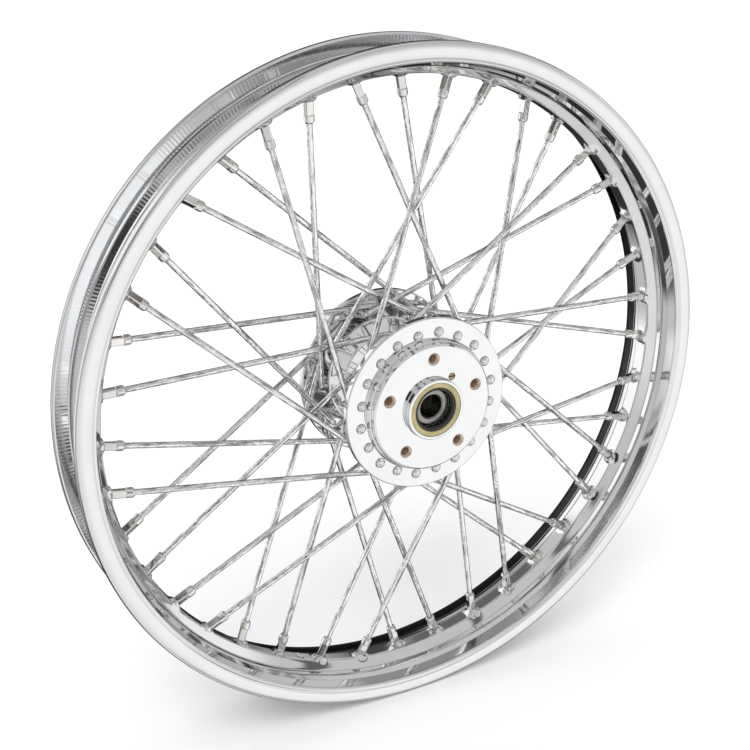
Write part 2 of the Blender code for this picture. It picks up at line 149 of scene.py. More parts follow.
# Cards and flags round the set, in the order in which they cover each other:
# azimuth from +Y towards +X, elevation, half width, half height, softness (degrees), brightness
CARDS = [
    (140, -48, 60, 30, 15, 0.98),
    (150, -18, 22, 12, 9, 1.02),
    (150, -44, 30, 3, 2, 0.45),
    (112, -50, 12, 8, 6, 0.40),
    (160, 3, 22, 2.5, 2, 0.55),
    (-150, -35, 35, 30, 12, 0.82),
    (-90, -2, 12, 28, 8, 0.40),
    (-42, 4, 28, 27, 4, 1.12),
    (-72, 38, 22, 16, 5, 1.05),
    (106, 4, 14, 17, 5, 0.95),
    (120, -66, 34, 9, 4, 0.28),
    (-28, -58, 54, 19, 4, 0.04),
    (21, -6, 18, 40, 3, 0.07),
    (8, 15, 9, 5, 3, 0.55),
    (6, 44, 22, 7, 3, 0.14),
    (50, 50, 13, 10, 4, 0.30),
    (-20, 76, 34, 9, 4, 0.28),
    (-78, 58, 7, 12, 3, 0.08),
    (-90, -50, 9, 12, 4, 0.10),
    (-148, 14, 8, 11, 2, 0.03),
    (-122, 10, 2.2, 60, 1.0, 0.10),
    (78, 10, 3.0, 60, 1.0, 0.08),
    (176, 34, 1.6, 30, 0.8, 0.12),
    (125, 33, 30, 2.5, 1.0, 0.12),
    (-150, 36, 26, 2.2, 1.4, 0.15),
]


# --------------------------------------------------------------------------- shapes


def polar(radius, angle, y):
    turn = math.radians(angle)
    return Vector((radius * math.cos(turn), y, radius * math.sin(turn)))


def rounded(corners, turn=15.0):
    """A closed profile from (radius, y, fillet) corners, with a point every turn degrees of fillet."""
    points = []
    for i, (radius, y, fillet) in enumerate(corners):
        here = np.array((radius, y), float)
        before = np.array(corners[i - 1][:2]) - here
        after = np.array(corners[(i + 1) % len(corners)][:2]) - here
        if not fillet:
            points.append(tuple(here))
            continue
        reach = 0.49 * min(np.linalg.norm(before), np.linalg.norm(after))
        before, after = before / np.linalg.norm(before), after / np.linalg.norm(after)
        half = math.acos(float(np.clip(before @ after, -1, 1))) / 2
        cut = min(fillet / math.tan(half), reach)
        fillet = cut * math.tan(half)
        middle = before + after
        centre = here + middle / np.linalg.norm(middle) * fillet / math.sin(half)
        start, end = here + before * cut - centre, here + after * cut - centre
        first = math.atan2(start[1], start[0])
        sweep = (math.atan2(end[1], end[0]) - first + math.pi) % (2 * math.pi) - math.pi
        count = max(1, math.ceil(abs(math.degrees(sweep)) / turn))
        for k in range(count + 1):
            at = first + sweep * k / count
            points.append((centre[0] + fillet * math.cos(at), centre[1] + fillet * math.sin(at)))
    return points


def refined(profile, longest):
    """The closed profile with points added, so that no stretch is longer than longest(point) allows."""
    points = []
    for start, end in zip(profile, profile[1:] + profile[:1]):
        start, end = np.array(start), np.array(end)
        count = max(1, math.ceil(np.linalg.norm(end - start) / longest((start + end) / 2)))
        points += [tuple(start + (end - start) * k / count) for k in range(count)]
    return points


def revolve(profile, steps, closed=True):
    """Points and faces of a profile turned about Y. An open profile starts and ends on the axis."""
    ring = np.array(profile, float)
    after = np.roll(ring, -1, 0)
    inverted = float(np.sum(ring[:, 0] * after[:, 1] - after[:, 0] * ring[:, 1])) < 0
    poles = [] if closed else [ring[0], ring[-1]]
    body = ring if closed else ring[1:-1]
    angles = np.arange(steps) * 2 * math.pi / steps
    count = len(body)
    points = np.empty((steps, count, 3))
    points[..., 0] = np.cos(angles)[:, None] * body[None, :, 0]
    points[..., 1] = body[None, :, 1]
    points[..., 2] = np.sin(angles)[:, None] * body[None, :, 0]
    here = np.arange(steps)[:, None] * count
    there = np.roll(here, -1, 0)
    i = np.arange(count if closed else count - 1)[None, :]
    k = (i + 1) % count
    quads = np.stack([here + i, here + k, there + k, there + i], -1).reshape(-1, 4)
    if inverted:
        quads = quads[:, ::-1]
    faces = quads.tolist()
    points = points.reshape(-1, 3)
    for n, pole in enumerate(poles):
        tip = len(points)
        points = np.vstack([points, (0, pole[1], 0)])
        edge = 0 if n == 0 else count - 1
        for s in range(steps):
            a, b = s * count + edge, ((s + 1) % steps) * count + edge
            face = [tip, a, b] if n == 0 else [a, tip, b]
            faces.append(face[::-1] if inverted else face)
    return points, faces


def tube_faces(rings, sides):
    """The faces between each ring of points and the next, and one over each end."""
    faces = []
    for i in range(rings - 1):
        for s in range(sides):
            t = (s + 1) % sides
            faces.append([i * sides + s, i * sides + t, (i + 1) * sides + t, (i + 1) * sides + s])
    faces.append(list(range(sides))[::-1])
    faces.append([(rings - 1) * sides + s for s in range(sides)])
    return faces


def swept(path, radii, sides):
    """Points and faces of a round tube along a path, with its ends closed."""
    path = [Vector(p) for p in path]
    tangents = []
    for i in range(len(path)):
        before = path[i] - path[max(i - 1, 0)]
        after = path[min(i + 1, len(path) - 1)] - path[i]
        tangents.append((before.normalized() + after.normalized()).normalized())
    across = tangents[0].orthogonal().normalized()
    points = []
    for i, (place, radius) in enumerate(zip(path, radii)):
        if i:
            across = tangents[i - 1].rotation_difference(tangents[i]) @ across
        up = tangents[i].cross(across)
        for s in range(sides):
            turn = 2 * math.pi * s / sides
            points.append(place + (across * math.cos(turn) + up * math.sin(turn)) * radius)
    return np.array([tuple(p) for p in points]), tube_faces(len(path), sides)


def lofted(sections):
    """Points and faces through closed loops of equal length, with both ends closed."""
    faces = tube_faces(len(sections), len(sections[0]))
    return np.array([p for loop in sections for p in loop], float), faces


def moved(shape, place, side=1):
    """The shape moved to a place, and mirrored in Y first if side is -1."""
    points, faces = shape
    if side < 0:
        faces = [face[::-1] for face in faces]
    return points * np.array((1, side, 1)) + np.array(tuple(place)), faces


def placed(points, origin, direction):
    """The points with their Y axis turned to a direction, and moved to an origin."""
    turn = Vector((0, 1, 0)).rotation_difference(Vector(direction))
    matrix = np.array(turn.to_matrix())
    return points @ matrix.T + np.array(tuple(origin))


# --------------------------------------------------------------------------- pieces


def new_object(name, points, faces):
    mesh = bpy.data.meshes.new(name)
    mesh.from_pydata((np.asarray(points) * MM).tolist(), [], faces)
    mesh.update()
    obj = bpy.data.objects.new(name, mesh)
    bpy.context.scene.collection.objects.link(obj)
    return obj


def joined(shapes):
    """Several (points, faces) as one."""
    points, faces, count = [], [], 0
    for some, their in shapes:
        points.append(some)
        faces += [[v + count for v in face] for face in their]
        count += len(some)
    return np.vstack(points), faces


def cut_out(obj, shapes):
    """Takes the shapes out of the object."""
    tool = new_object(obj.name + "_tool", *joined(shapes))
    boolean = obj.modifiers.new("holes", "BOOLEAN")
    boolean.operation = "DIFFERENCE"
    boolean.object = tool
    boolean.solver = "MANIFOLD"
    bpy.context.view_layer.update()
    evaluated = obj.evaluated_get(bpy.context.evaluated_depsgraph_get())
    result = bpy.data.meshes.new_from_object(evaluated)
    obj.modifiers.clear()
    obj.data = result
    bpy.data.objects.remove(tool)


def finish_piece(obj, finish, body, stands_for=(), sharp=35):
    """Gives the piece smooth shading, a material and a body to ride on, and hides the CAD nodes that it
    stands for.
    """
    mesh = obj.data
    mesh.shade_smooth()
    mesh.set_sharp_from_angle(angle=math.radians(sharp))
    weighted = obj.modifiers.new("flat faces stay flat", "WEIGHTED_NORMAL")
    weighted.keep_sharp = True
    mesh.materials.clear()
    mesh.materials.append(finish)
    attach(obj, body)
    if stands_for:
        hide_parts(*stands_for)
    return obj


def piece(name, shape, finish, body, stands_for=(), sharp=35):
    return finish_piece(new_object(name, *shape), finish, body, stands_for, sharp)


# --------------------------------------------------------------------------- materials


class Graph:
    """A short way to write a material's nodes."""

    def __init__(self, name, **settings):
        self.material = bpy.data.materials.new(name)
        self.material.use_nodes = True
        self.tree = self.material.node_tree
        self.shader = self.tree.nodes["Principled BSDF"]
        for socket, value in settings.items():
            self.shader.inputs[socket.replace("_", " ")].default_value = value
        self.place = self.add("ShaderNodeTexCoord").outputs["Object"]

    def add(self, kind, **inputs):
        node = self.tree.nodes.new(kind)
        for name, value in inputs.items():
            self.put(node, name.replace("_", " "), value)
        return node

    def put(self, node, name, value):
        socket = node.inputs[int(name)] if name.isdigit() else node.inputs[name]
        if isinstance(value, bpy.types.NodeSocket):
            self.tree.links.new(value, socket)
        else:
            socket.default_value = value

    def noise(self, scale, detail=3.0, stretch=None):
        where = self.place
        if stretch:
            mapping = self.add("ShaderNodeMapping", Vector=where)
            mapping.inputs["Scale"].default_value = stretch
            where = mapping.outputs["Vector"]
        node = self.add("ShaderNodeTexNoise", Vector=where, Scale=scale, Detail=detail)
        return node.outputs["Fac"]

    def spread(self, value, low, high, start=0.3, end=0.7):
        node = self.add("ShaderNodeMapRange", Value=value)
        limits = {"From Min": start, "From Max": end, "To Min": low, "To Max": high}
        for name, number in limits.items():
            node.inputs[name].default_value = number
        return node.outputs["Result"]

    def between(self, factor, first, second):
        node = self.tree.nodes.new("ShaderNodeMix")
        node.data_type = "RGBA"
        self.tree.links.new(factor, node.inputs["Factor"])
        node.inputs["A"].default_value = (*first, 1)
        node.inputs["B"].default_value = (*second, 1)
        return node.outputs["Result"]

    def bump(self, height, strength, distance):
        node = self.add("ShaderNodeBump", Strength=strength, Distance=distance, Height=height)
        self.tree.links.new(node.outputs["Normal"], self.shader.inputs["Normal"])

    def drive(self, socket, value):
        self.tree.links.new(value, self.shader.inputs[socket])


def plated(name, light, dark, roughness):
    """Bright plating, with a faint clouding in colour and gloss."""
    g = Graph(name, Metallic=1.0)
    g.shader.inputs["Specular Tint"].default_value = (EDGE_TINT, EDGE_TINT, EDGE_TINT, 1)
    cloud = g.noise(35.0, 4.0)
    fine = g.noise(900.0, 2.0)
    g.drive("Base Color", g.between(g.spread(cloud, 0.0, 1.0), light, dark))
    g.drive("Roughness", g.spread(fine, roughness * 0.7, roughness * 1.4))
    return g.material


def steel(name, light, dark, roughness):
    """Ground steel, with fine turning marks round the axle."""
    g = Graph(name, Metallic=1.0)
    marks = g.noise(60.0, 3.0, stretch=(1, 30, 1))
    g.drive("Base Color", g.between(g.spread(marks, 0.0, 1.0), light, dark))
    g.drive("Roughness", g.spread(g.noise(300.0), roughness * 0.7, roughness * 1.5))
    g.bump(marks, 0.15, 0.0002)
    return g.material


def zinc(name):
    """Yellow zinc plating: olive gold with a slight iridescent drift."""
    g = Graph(name, Metallic=0.75)
    drift = g.spread(g.noise(140.0), 0.0, 1.0)
    g.drive("Base Color", g.between(drift, (0.62, 0.52, 0.27), (0.47, 0.41, 0.21)))
    g.drive("Roughness", g.spread(g.noise(500.0), 0.28, 0.42))
    return g.material


def rubber(name):
    g = Graph(name)
    g.drive("Base Color", g.between(g.noise(400.0), (0.012, 0.012, 0.013), (0.03, 0.03, 0.031)))
    g.drive("Roughness", g.spread(g.noise(200.0), 0.25, 0.45))
    return g.material


# --------------------------------------------------------------------------- spokes and nipples


def spoke_list():
    """Every spoke, as laid out in the CAD model: its side (-1 disc, 1 plain), elbow and angles."""
    order = [
        ("disc_leading", -1, 1),
        ("plain_trailing", 1, -1),
        ("disc_trailing", -1, -1),
        ("plain_leading", 1, 1),
    ]
    spokes = []
    for first, (kind, side, lean) in enumerate(order, 1):
        for i in range(SPOKE_COUNT // len(order)):
            rim_angle = (first + len(order) * i) * 360 / SPOKE_COUNT
            hub_angle = rim_angle + lean * LACING_ANGLE
            short = side * lean < 0
            radius = HEAD_CIRCLE_RADIUS + HEAD_CIRCLE_STEP * (1 if short else -1)
            inner = DISC_FLANGE_IN if side < 0 else PLAIN_FLANGE_IN
            reach = SHORT_ELBOW_Y if short else LONG_ELBOW_Y
            elbow = polar(radius, hub_angle, inner - side * reach)
            row = side * (NIPPLE_ROW_Y + (NIPPLE_STAGGER if short else -NIPPLE_STAGGER))
            seat = polar(FLOOR_RADIUS, rim_angle, row)
            spokes.append(
                {
                    "name": f"{kind}_{i + 1:02d}",
                    "side": side,
                    "angle": rim_angle,
                    "row": row,
                    "elbow": elbow,
                    "seat": seat,
                    "leg": (seat - elbow).normalized(),
                }
            )
    return spokes


def wire_finish(name, light, dark, roughness):
    """Plated wire that waves in its bump, with painted reflection streaks, light and dark, along its
    length in its base colour.
    """
    g = Graph(name, Metallic=1.0)
    tint = WIRE_EDGE_TINT
    g.shader.inputs["Specular Tint"].default_value = (tint, tint, tint, 1)
    g.place = g.add("ShaderNodeTexCoord").outputs["UV"]
    waves = g.noise(1.0, 2.0, stretch=(5.0, 1.0, 1.0))
    streaks = g.noise(1.0, 2.0, stretch=(4.0, 0.35, 1.0))
    # painted reflection: the base colour runs between light and dark streaks along the wire
    g.drive("Base Color", g.between(g.spread(streaks, 0.0, 1.0, 0.36, 0.48), dark, light))
    g.drive("Roughness", g.spread(g.noise(6.0), roughness * 0.7, roughness * 1.4))
    g.bump(waves, 1.0, 0.0009)
    return g.material


def unroll(mesh, sides):
    """A UV map for a swept tube: U is turns round the wire, V is its length in spans."""
    uv = mesh.uv_layers.new(name="unrolled").data
    along = np.zeros(len(mesh.vertices))
    points = [v.co for v in mesh.vertices]
    rings = len(points) // sides
    for ring in range(1, rings):
        first, last = (ring - 1) * sides, ring * sides
        step = sum(((points[last + s] - points[first + s]) for s in range(sides)), Vector())
        along[last : last + sides] = along[first] + step.length / sides / (STREAK_SPAN * MM)
    for polygon in mesh.polygons:
        turns = [mesh.loops[i].vertex_index % sides / sides for i in polygon.loop_indices]
        wraps = len(turns) == 4 and max(turns) - min(turns) > 0.5
        for i, turn in zip(polygon.loop_indices, turns):
            uv[i].uv = (turn + 1 if wraps and turn < 0.5 else turn, along[mesh.loops[i].vertex_index])


def head_place(spoke):
    """Where the spoke's hole comes out of its flange."""
    face = DISC_FLANGE_OUT if spoke["side"] < 0 else PLAIN_FLANGE_OUT
    return Vector((spoke["elbow"].x, face, spoke["elbow"].z))


def wire_shape(spoke):
    """Domed head, shank through the flange, elbow, and a straight leg into the nipple."""
    inward = Vector((0, -spoke["side"], 0))
    elbow, leg, seat = spoke["elbow"], spoke["leg"], spoke["seat"]
    foot = head_place(spoke) + inward * HEAD_SINK
    path, radii = [], []
    for k in range(DOME_STEPS + 1):
        turn = math.radians(6 + 84 * k / DOME_STEPS)  # from just off the pole to the dome's edge
        path.append(foot - inward * (DOME_START + DOME_HEIGHT * math.cos(turn)))
        radii.append(HEAD_RADIUS * math.sin(turn))
    path += [foot - inward * 0.1, foot, foot + inward * 0.02]
    radii += [HEAD_RADIUS, HEAD_RADIUS - 0.15, SPOKE_RADIUS]

    angle = inward.angle(leg)
    radius = ELBOW_REACH / math.tan((math.pi - angle) / 2)
    start, end = elbow - inward * ELBOW_REACH, elbow + leg * ELBOW_REACH
    normal = (leg - inward * leg.dot(inward)).normalized()
    centre = start + normal * radius
    for k in range(ELBOW_STEPS + 1):
        turn = angle * k / ELBOW_STEPS
        path.append(centre - normal * radius * math.cos(turn) + inward * radius * math.sin(turn))
        radii.append(SPOKE_RADIUS)
    path += [end + leg * 0.5, seat - leg * 8.0]  # it ends inside the nipple
    radii += [SPOKE_RADIUS, SPOKE_RADIUS]
    return swept(path, radii, WIRE_SIDES)


def nipple_loop(y, radius, half_flat):
    """A round section with four flats milled on it."""
    loop = []
    for s in range(NIPPLE_SIDES):
        turn = 2 * math.pi * s / NIPPLE_SIDES
        reach = max(abs(math.cos(turn)), abs(math.sin(turn)))
        r = min(radius, half_flat / reach)
        loop.append((r * math.cos(turn), y, r * math.sin(turn)))
    return loop


def nipple_shape(spoke):
    """A nipple drawn along +Y from the rim: head, four wrench flats, round collar, tapered mouth."""
    top = NIPPLE_RADIUS
    stations = [
        (-2.2, 2.2, ROUND),
        (-1.9, 3.6, ROUND),
        (-1.2, 4.9, ROUND),
        (-0.2, 5.3, ROUND),
        (0.4, 5.2, ROUND),
        (1.6, top - 0.1, ROUND),
        (2.2, top - 0.1, HALF_FLAT),
        (12.0, top - 0.1, HALF_FLAT),
        (12.5, top, 3.6),
        (12.8, top, ROUND),
        (17.4, top, ROUND),
        (18.6, 3.35, ROUND),
        (18.95, 2.95, ROUND),
        (18.95, 2.5, ROUND),
        (17.5, 2.45, ROUND),
    ]
    points, faces = lofted([nipple_loop(y, radius, flat) for y, radius, flat in stations])
    return placed(points, spoke["seat"], -spoke["leg"]), [face[::-1] for face in faces]


# --------------------------------------------------------------------------- rim


def rim_profile():
    """The rolled rim: dropped floor, sloping walls, bead seats, and flanges with rolled edges.

    The corners run from the floor over the tyre's side to the lip, and back along the hub's side.
    """
    inside = [
        (256.6, 4.3, 3.0),
        (266.4, 12.8, 3.0),
        (BEAD_SEAT_RADIUS, 25.0, 1.4),
        (269.2, 27.3, 1.5),
        (280.4, 27.3, 1.5),
        (LIP_RADIUS, 28.6, 1.2),
        (LIP_RADIUS, 33.9, 2.6),
        (276.8, 35.1, 9.0),
        (271.2, 34.1, 3.0),
        (269.6, 33.5, 1.0),
        (267.4, 33.9, 1.2),
    ]
    outside = [
        (264.5, 23.0, 1.5),
        (262.3, 19.4, 1.5),
        (261.4, 17.4, 1.0),
        (261.2, 13.2, 2.0),
        (FLOOR_RADIUS, 6.3, 2.2),
    ]
    far_side = inside + [(263.2, 33.2, 1.2), (264.6, 31.0, 0.8)] + outside
    near_side = inside + [(265.3, 32.6, 1.0), (266.4, 31.0, 0.8)] + outside
    near_side = [(radius, -y, fillet) for radius, y, fillet in near_side]
    return rounded(far_side[::-1] + near_side, turn=28.0)


def rim_stretch(middle):
    """The longest edge along the profile: short where the dimples are."""
    radius, y = middle
    if radius < FLOOR_RADIUS + 0.4:  # the floor's hub side
        return 1.6
    if radius < FLOOR_RADIUS + 6.5 and 6 < abs(y) < 13:  # the sloping walls
        return 2.2
    if radius < FLOOR_RADIUS + 2.5:  # the floor's tyre side
        return 1.8
    return 30.0


def dimpled(points, spokes):
    """The rim's points with its floor raised round each nipple, leaning towards the spoke."""
    radius = np.hypot(points[:, 0], points[:, 2])
    angle = np.degrees(np.arctan2(points[:, 2], points[:, 0]))
    raised = np.zeros(len(points))
    near = radius < WALL_RADIUS
    for spoke in spokes:
        away = (angle - spoke["angle"] + 180) % 360 - 180
        mine = near & (np.abs(away) < DIMPLE_WINDOW)
        along = np.radians(away[mine]) * FLOOR_RADIUS
        across = points[mine, 1] - spoke["row"]
        reach = np.hypot(along, across)
        share = np.clip((DIMPLE_BASE - reach) / (DIMPLE_BASE - DIMPLE_TOP), 0, 1)
        share = share * share * (3 - 2 * share)
        outward = polar(1, spoke["angle"], 0)
        tangent = Vector((-outward.z, 0, outward.x))
        leg = spoke["leg"]
        rise = leg.dot(outward)
        tilt = -(along * leg.dot(tangent) + across * leg.y) / rise
        flat = np.clip((9.5 - np.abs(points[mine, 1])) / 3.0, 0, 1)  # fades up the sloping walls
        lift = share * flat * (DIMPLE_HEIGHT - tilt * DIMPLE_TILT)
        raised[mine] = np.where(np.abs(lift) > np.abs(raised[mine]), lift, raised[mine])
    shrunk = 1 - raised / np.maximum(radius, 1)
    points[:, 0] *= shrunk
    points[:, 2] *= shrunk
    return points


def rim_shape(spokes):
    """The turned section, with every second step of the bead walls pushed in to leave ridges."""
    profile = refined(rim_profile(), rim_stretch)
    points, faces = revolve(profile, RIM_STEPS)
    rows = points.reshape(RIM_STEPS, len(profile), 3)
    radius, y = np.array(profile).T
    wall = (radius > RIDGE_FOOT_RADIUS) & (radius < RIDGE_TOP_RADIUS) & (np.abs(y) < FLANGE_Y)
    rows[1::2, wall, 1] -= np.sign(y[wall]) * RIDGE_DEPTH
    return dimpled(points, spokes), faces


def face_places(mesh):
    """The centre and normal of every face, and its centre's distance from the axle, in millimetres."""
    count = len(mesh.polygons)
    centres, normals = np.empty(count * 3), np.empty(count * 3)
    mesh.polygons.foreach_get("center", centres)
    mesh.polygons.foreach_get("normal", normals)
    centres, normals = centres.reshape(-1, 3) / MM, normals.reshape(-1, 3)
    return centres, normals, np.hypot(centres[:, 0], centres[:, 2])


def crease_ridges(mesh):
    """Flat shading on the knurled bead walls, so that each ridge catches the light."""
    centres, _, radius = face_places(mesh)
    y = np.abs(centres[:, 1])
    wall = (radius > BEAD_SEAT_RADIUS + 0.5) & (radius < RIDGE_TOP_RADIUS + 0.3)
    wall &= (y > BEAD_WALL_Y) & (y < FLANGE_Y)
    mesh.polygons.foreach_set("use_smooth", ~wall)
    edges = {key for polygon, flat in zip(mesh.polygons, wall) if flat for key in polygon.edge_keys}
    for edge in mesh.edges:
        if edge.key in edges:
            edge.use_edge_sharp = True
    mesh.update()


def share_out(mesh, inside, groove_shade):
    """The satin plating inside the tyre channel, and a painted shade: near-black plating in the groove
    under the far rolled edge.
    """
    mesh.materials.append(inside)
    mesh.materials.append(groove_shade)
    centres, normals, radius = face_places(mesh)
    y = centres[:, 1]
    outward = (centres[:, 0] * normals[:, 0] + centres[:, 2] * normals[:, 2]) / radius
    channel = (np.abs(y) < FLANGE_Y - 0.4) & ((outward > 0.1) | (radius > BEAD_SEAT_RADIUS + 0.5))
    # painted shade: faces of the groove under the far rolled edge that face the axle get the near-black
    # finish
    groove = (radius < GROOVE_RADIUS) & (y > GROOVE_START) & (y < GROOVE_END) & (outward < 0)
    slots = np.where(groove, 2, np.where(channel, 1, 0)).astype(np.int32)
    mesh.polygons.foreach_set("material_index", slots)
    mesh.update()


def make_rim(spokes, finish, inside, groove_shade):
    rim = new_object("rolled_rim", *rim_shape(spokes))
    bore = [(0, 16), (NIPPLE_HOLE_RADIUS, 16), (NIPPLE_HOLE_RADIUS, -8), (0, -8)]
    points, faces = revolve(bore, HOLE_STEPS, closed=False)
    holes = [(placed(points, spoke["seat"], -spoke["leg"]), faces) for spoke in spokes]
    edge = VALVE_HOLE_RADIUS
    bore = [(0, 9), (edge + 1.6, 9), (edge + 0.9, 0.3), (edge, -0.5), (edge, -8), (0, -8)]
    points, faces = revolve(bore, WIDE_HOLE_STEPS, closed=False)
    valve = polar(FLOOR_RADIUS, VALVE_ANGLE, 0)
    holes.append((placed(points, valve, -valve.normalized()), faces))
    cut_out(rim, holes)
    finish_piece(rim, finish, "wheel", ["rim"], sharp=40)
    crease_ridges(rim.data)
    share_out(rim.data, inside, groove_shade)


# --------------------------------------------------------------------------- hub


def hub_profile():
    """The hub's half section: along its outside from the plain end, and back through the bore."""
    outside = [
        (BOSS_RADIUS, PLAIN_BOSS_END, 0.9),
        (BOSS_RADIUS, 47.0, 0.8),
        (44.5, 47.0, 1.0),
        (47.2, 44.5, 1.0),
        (49.0, PLAIN_FLANGE_OUT, 1.2),
        (FLANGE_RADIUS, PLAIN_FLANGE_OUT, 1.3),
        (FLANGE_RADIUS, PLAIN_FLANGE_IN, 1.3),
        (48.0, PLAIN_FLANGE_IN, 4.0),
        (37.0, 25.5, 9.0),
        (BARREL_RADIUS, 16.5, 8.0),
        (BARREL_RADIUS, -21.7, 8.0),
        (37.0, -30.7, 9.0),
        (48.0, DISC_FLANGE_IN, 4.0),
        (FLANGE_RADIUS, DISC_FLANGE_IN, 1.3),
        (FLANGE_RADIUS, DISC_FLANGE_OUT, 1.3),
        (55.3, DISC_FLANGE_OUT, 1.0),
        (54.6, -50.3, 0.3),
        (53.6, -50.6, 0.3),
        (53.0, -54.2, 0.5),
        (51.6, DISC_FACE_Y, 0.7),
        (BOSS_RADIUS, DISC_FACE_Y, 0.7),
        (BOSS_RADIUS, DISC_BOSS_END, 0.9),
    ]
    bore, barrel_bore = CUP_RADIUS + 0.12, 19.3
    shoulder = BEARING_DEPTH + CUP_END + 0.1
    inside = [
        (bore, DISC_BOSS_END, 0.3),
        (bore, DISC_BOSS_END + shoulder, 0),
        (barrel_bore, DISC_BOSS_END + shoulder, 0),
        (barrel_bore, PLAIN_BOSS_END - shoulder, 0),
        (bore, PLAIN_BOSS_END - shoulder, 0),
        (bore, PLAIN_BOSS_END, 0.3),
    ]
    return rounded(outside + inside)


def bolt_places():
    angles = [90 + 360 * i / BOLT_COUNT for i in range(BOLT_COUNT)]
    return [polar(BOLT_CIRCLE_RADIUS, angle, DISC_FACE_Y) for angle in angles]


def bolt_hole_shape():
    """A threaded blind hole, 13 mm deep along +Y, with a countersunk mouth."""
    crest, root = THREAD_CREST_RADIUS, THREAD_ROOT_RADIUS
    profile = [(0, 13.0), (3.4, 13.0), (crest, 12.4)]
    depth = 12.0
    while depth > 1.6:
        profile += [(root, depth), (crest, depth - THREAD_PITCH / 2)]
        depth -= THREAD_PITCH
    profile += [(root, 1.25), (COUNTERSINK_RADIUS, 0.0), (COUNTERSINK_RADIUS + 1, -1.0), (0, -1.0)]
    return revolve(profile, WIDE_HOLE_STEPS, closed=False)


def spoke_hole_shape():
    """A hole through the plain flange, drawn from its outer face, with a shallow seat for the head."""
    seat, bore = HEAD_POCKET_RADIUS, SPOKE_HOLE_RADIUS
    profile = [(0, 1), (seat, 1), (seat, -0.4), (bore, -0.8), (bore, -8.5), (0, -8.5)]
    return revolve(profile, HOLE_STEPS, closed=False)


def plug_place():
    return polar(PLUG_CIRCLE_RADIUS, PLUG_ANGLE, DISC_FACE_Y)


def make_hub(spokes, finish, bare):
    hub = new_object("hub_body", *revolve(hub_profile(), HUB_STEPS))
    bolts = bolt_places()
    holes = [moved(bolt_hole_shape(), place) for place in bolts]
    holes += [moved(spoke_hole_shape(), head_place(spoke), spoke["side"]) for spoke in spokes]
    profile = [(0, 8), (3.15, 8), (3.15, 0.1), (3.3, -1), (0, -1)]
    holes.append(moved(revolve(profile, HOLE_STEPS, closed=False), plug_place()))
    cut_out(hub, holes)
    finish_piece(hub, finish, "wheel", ["hub_shell"], sharp=30)
    hub.data.materials.append(bare)
    for polygon in hub.data.polygons:
        centre = polygon.center / MM
        for place in bolts:
            away = centre - place
            if 0.1 < away.y < 14 and math.hypot(away.x, away.z) < COUNTERSINK_RADIUS + 0.15:
                polygon.material_index = 1


def make_plug(finish):
    """A small slotted plug, flush with the disc face."""
    profile = [(0, 7.5), (2.9, 7.5), (2.9, 0.45), (2.45, 0.05), (0, 0.05)]
    plug = new_object("slotted_plug", *revolve(profile, WIDE_HOLE_STEPS, closed=False))
    slot = [(-4, -1, -0.5), (4, -1, -0.5), (4, 1.4, -0.5), (-4, 1.4, -0.5)]
    slot += [(x, y, -z) for x, y, z in slot]
    faces = [[0, 1, 2, 3], [7, 6, 5, 4], [0, 4, 5, 1], [1, 5, 6, 2], [2, 6, 7, 3], [3, 7, 4, 0]]
    cut_out(plug, [(np.array(slot, float), faces)])
    plug.data.transform(Matrix.Translation(plug_place() * MM))
    finish_piece(plug, finish, "wheel", ["hub_plug"])


# --------------------------------------------------------------------------- bearings, seals and sleeve


def ring_at(end, side, corners):
    """A ring from (radius, depth, fillet) corners measured inwards from one end of the hub."""
    profile = rounded([(radius, end - side * depth, fillet) for radius, depth, fillet in corners])
    return revolve(profile, RING_STEPS)


def seal_case_corners():
    return [
        (RING_RADIUS, 0.3, 0.4),
        (RING_RADIUS, 5.8, 0.3),
        (21.6, 5.8, 0.2),
        (21.6, 1.4, 0.6),
        (18.5, 1.4, 0.2),
        (18.5, 0.55, 0.3),
        (19.3, 0.25, 0.3),
    ]


def seal_lip_corners():
    return [
        (18.35, 0.65, 0.25),
        (18.35, 4.8, 0.3),
        (17.0, 5.0, 0.3),
        (15.9, 3.7, 0.4),
        (15.9, 2.0, 0.3),
        (16.5, 1.1, 0.3),
        (17.3, 1.25, 0.3),
    ]


def cone_corners():
    back = BEARING_DEPTH
    return [
        (15.0, back, 0.7),
        (15.0, back + 2.0, 0.3),
        (13.9, back + 2.3, 0),
        (12.2, back + 14.2, 0),
        (12.9, back + 14.4, 0.3),
        (12.9, back + CONE_LENGTH, 0.4),
        (CONE_BORE_RADIUS, back + CONE_LENGTH, 0.5),
        (CONE_BORE_RADIUS, back + 1.3, 0.6),
        (10.8, back, 0.25),
    ]


def cup_corners():
    start, end = BEARING_DEPTH + CUP_START, BEARING_DEPTH + CUP_END
    return [(RING_RADIUS, start, 0.8), (RING_RADIUS, end, 0.8), (17.0, end, 0.3), (19.3, start, 0.3)]


def cage_corners():
    """The pressed cage that holds the rollers apart, behind them."""
    back = BEARING_DEPTH
    return [
        (17.6, back + 2.5, 0.2),
        (15.6, back + 15.4, 0.2),
        (13.6, back + 15.7, 0.2),
        (13.6, back + 15.2, 0.1),
        (15.1, back + 14.9, 0.2),
        (17.1, back + 2.8, 0.1),
    ]


def roller_shape(end, side, angle):
    """One tapered roller between the cone's and the cup's tracks."""
    start = polar(16.5, angle, end - side * (BEARING_DEPTH + 3.3))
    finish = polar(14.9, angle, end - side * (BEARING_DEPTH + 13.4))
    length = (finish - start).length
    profile = [(0, 0), (2.0, 0), (2.25, 0.3), (1.85, length - 0.3), (1.6, length), (0, length)]
    points, faces = revolve(profile, ROLLER_STEPS, closed=False)
    return placed(points, start, (finish - start).normalized()), faces


